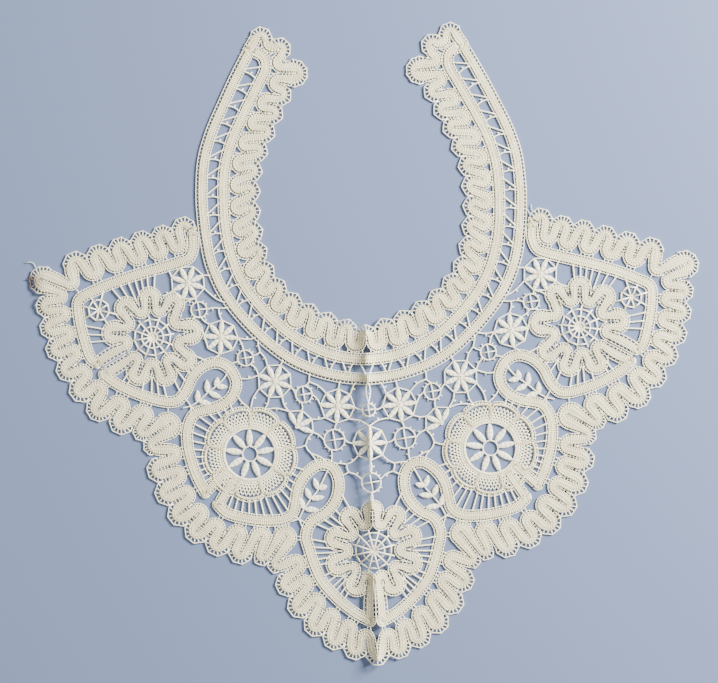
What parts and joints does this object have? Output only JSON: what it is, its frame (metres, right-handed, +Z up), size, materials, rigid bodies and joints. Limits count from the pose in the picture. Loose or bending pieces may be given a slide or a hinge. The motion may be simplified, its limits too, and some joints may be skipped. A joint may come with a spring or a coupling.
{
  "type": "lace bib collar",
  "caption": "Bib collar of tape lace laid flat: U-shaped neck band, scalloped edgings, petalled flowers, net wheels and a starry ground; trims the neck and front of a dress.",
  "frame": {"origin": "on the surface the collar lies on, under the middle of its outline", "axes": "+X towards the wearer's left, +Y towards the neck straps, +Z up out of the surface; right-handed"},
  "size_m": [0.3733, 0.357, 0.0054],
  "materials": {
    "tape": "cream cotton tape worked with bobbins, matt with a faint sheen along the threads",
    "filling": "off-white linen thread, tightly wrapped leaves with a silky sheen"
  },
  "bodies": {
    "root": {"neck_edging": "tape", "neck_band": "tape", "outer_edging": "tape", "flower_centre": "tape", "flower_left": "tape", "flower_right": "tape", "net_wheel_left": "tape", "net_wheel_right": "tape", "tape_wing_left": "tape", "tape_wing_right": "tape", "tape_side_left": "tape", "tape_side_right": "tape", "tape_front_left": "tape", "tape_front_right": "tape", "sprig_side_left": "filling", "sprig_side_right": "filling", "sprig_front_left": "filling", "sprig_front_right": "filling", "star_ground": "filling"}
  },
  "joints": []
}
